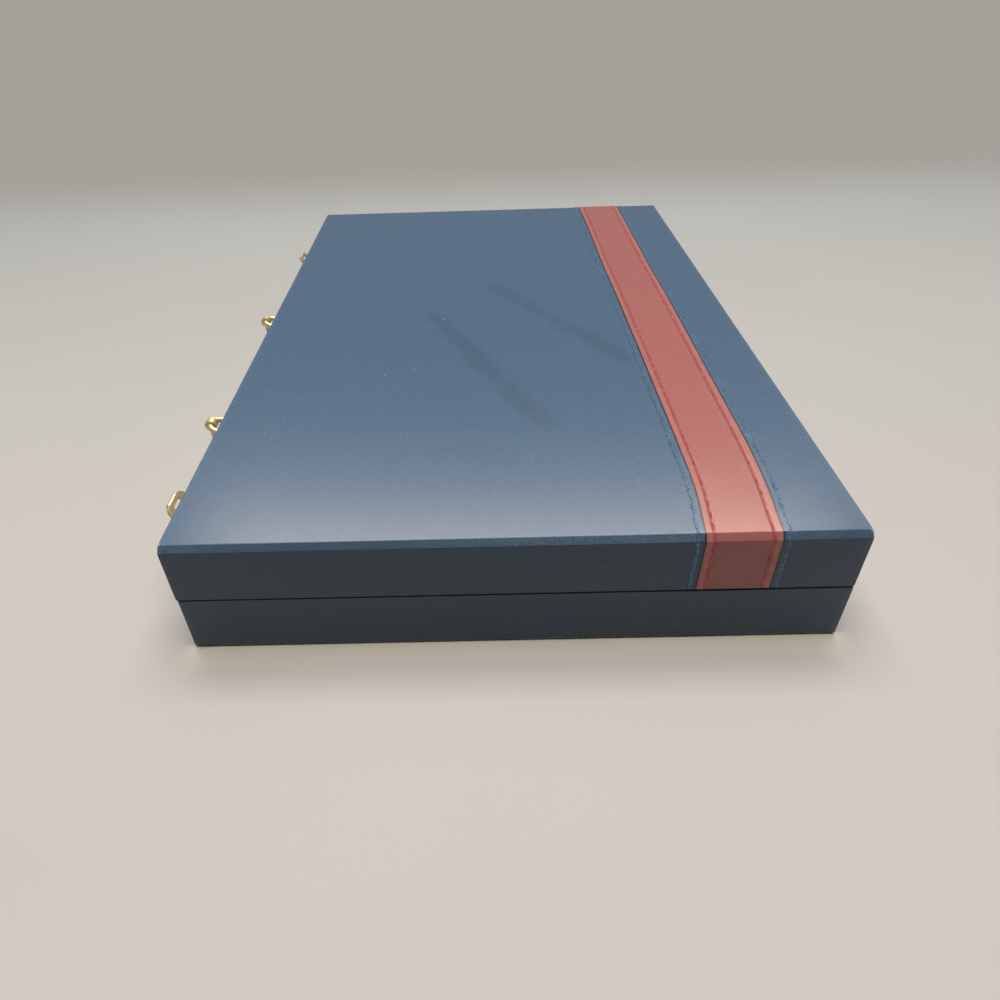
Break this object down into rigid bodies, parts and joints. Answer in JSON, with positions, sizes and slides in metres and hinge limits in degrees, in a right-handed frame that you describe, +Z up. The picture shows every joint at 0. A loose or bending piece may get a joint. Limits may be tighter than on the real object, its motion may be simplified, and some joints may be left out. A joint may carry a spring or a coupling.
{
  "type": "travel backgammon set",
  "caption": "Slim attache-style travel board game case with hinged lid, spring latches, ring handle and a stitched stripe, holding board, checkers, cups and dice.",
  "frame": {"origin": "middle of the base's flat underside, on the table that the closed case lies on", "axes": "+X towards the hinge side, +Y along the long side away from the near end, +Z up"},
  "size_m": [0.2105, 0.2816, 0.0391],
  "materials": {
    "blue_leatherette": "navy linen-grained leatherette, satin",
    "red_leatherette": "burgundy linen-grained leatherette, satin",
    "box_wood": "plain softwood",
    "board": "grey-brown board",
    "blue_lining": "short navy flock",
    "cream_field": "cream grained vinyl",
    "blue_points": "navy vinyl inlay",
    "red_points": "burgundy vinyl inlay",
    "red_checker": "polished burgundy plastic",
    "ivory_checker": "polished ivory plastic",
    "cup_leather": "navy leatherette over a stiff cup",
    "ivory_dice": "polished ivory plastic",
    "red_dice": "polished burgundy plastic",
    "grip_leather": "navy leatherette, satin",
    "brass": "polished brass plate, lightly tarnished"
  },
  "bodies": {
    "base": {"base_cover": "blue_leatherette", "base_underside": "blue_leatherette", "base_frame": "box_wood", "base_panel": "board", "base_wall_lining": "blue_lining", "base_trough_pad": "blue_lining", "base_trough_rail": "blue_leatherette", "trough_partitions": "blue_leatherette", "base_field": "cream_field", "base_dark_points": "blue_points", "base_light_points": "red_points", "dark_checkers": "red_checker", "light_checkers": "ivory_checker", "dice_cup_near": "cup_leather", "dice_cup_far": "cup_leather", "light_dice": "ivory_dice", "dark_dice": "red_dice", "doubling_cube": "ivory_dice", "base_hinge_leaves": "brass", "base_hinge_screws": "brass", "hinge_pins": "brass", "latch_plate_near": "brass", "latch_plate_far": "brass", "latch_pins": "brass", "latch_screws": "brass", "handle_plate_near": "brass", "handle_plate_far": "brass", "handle_screws": "brass"},
    "lid": {"lid_cover": "blue_leatherette", "stripe_welt": "blue_leatherette", "stripe_band": "red_leatherette", "lid_frame": "box_wood", "lid_panel": "board", "lid_wall_lining": "blue_lining", "lid_trough_pad": "blue_lining", "lid_trough_rail": "blue_leatherette", "lid_field": "cream_field", "lid_dark_points": "blue_points", "lid_light_points": "red_points", "lid_hinge_leaves": "brass", "lid_hinge_screws": "brass", "latch_keepers": "brass", "keeper_screws": "brass"},
    "hasp_near": {"latch_hasp_near": "brass"},
    "hasp_far": {"latch_hasp_far": "brass"},
    "button_near": {"latch_button_near": "brass"},
    "button_far": {"latch_button_far": "brass"},
    "ring_near": {"handle_ring_near": "brass"},
    "ring_far": {"handle_ring_far": "brass"},
    "grip": {"handle_grip": "grip_leather", "handle_ferrule_near": "brass", "handle_ferrule_far": "brass"}
  },
  "joints": [
    {"name": "lid_hinge", "type": "hinge", "parent": "base", "child": "lid", "pos_m": [0.0932, 0, 0.0196], "axis": [0, 1, 0], "range_deg": [0, 180]},
    {"name": "hasp_near_hinge", "type": "hinge", "parent": "base", "child": "hasp_near", "pos_m": [-0.0952, -0.1057, 0.0162], "axis": [0, 1, 0], "range_deg": [-54, 36]},
    {"name": "button_near_slide", "type": "slide", "parent": "base", "child": "button_near", "axis": [0, -1, 0], "range_m": [0, 0.003], "stiffness_N_per_m": 60},
    {"name": "ring_near_hinge", "type": "hinge", "parent": "base", "child": "ring_near", "pos_m": [-0.0955, -0.046, 0.0125], "axis": [0, 1, 0], "range_deg": [0, 70]},
    {"name": "hasp_far_hinge", "type": "hinge", "parent": "base", "child": "hasp_far", "pos_m": [-0.0952, 0.1057, 0.0162], "axis": [0, 1, 0], "range_deg": [-54, 36]},
    {"name": "button_far_slide", "type": "slide", "parent": "base", "child": "button_far", "axis": [0, 1, 0], "range_m": [0, 0.003], "stiffness_N_per_m": 60},
    {"name": "ring_far_hinge", "type": "hinge", "parent": "base", "child": "ring_far", "pos_m": [-0.0955, 0.046, 0.0125], "axis": [0, 1, 0], "range_deg": [0, 70]},
    {"name": "grip_hinge", "type": "hinge", "parent": "ring_near", "child": "grip", "pos_m": [-0.11117, 0, 0.01699], "axis": [0, 1, 0], "range_deg": [-40, 90]}
  ],
  "couplings": [
    {"joint": "ring_far_hinge", "follows": "ring_near_hinge", "ratio": 1}
  ]
}
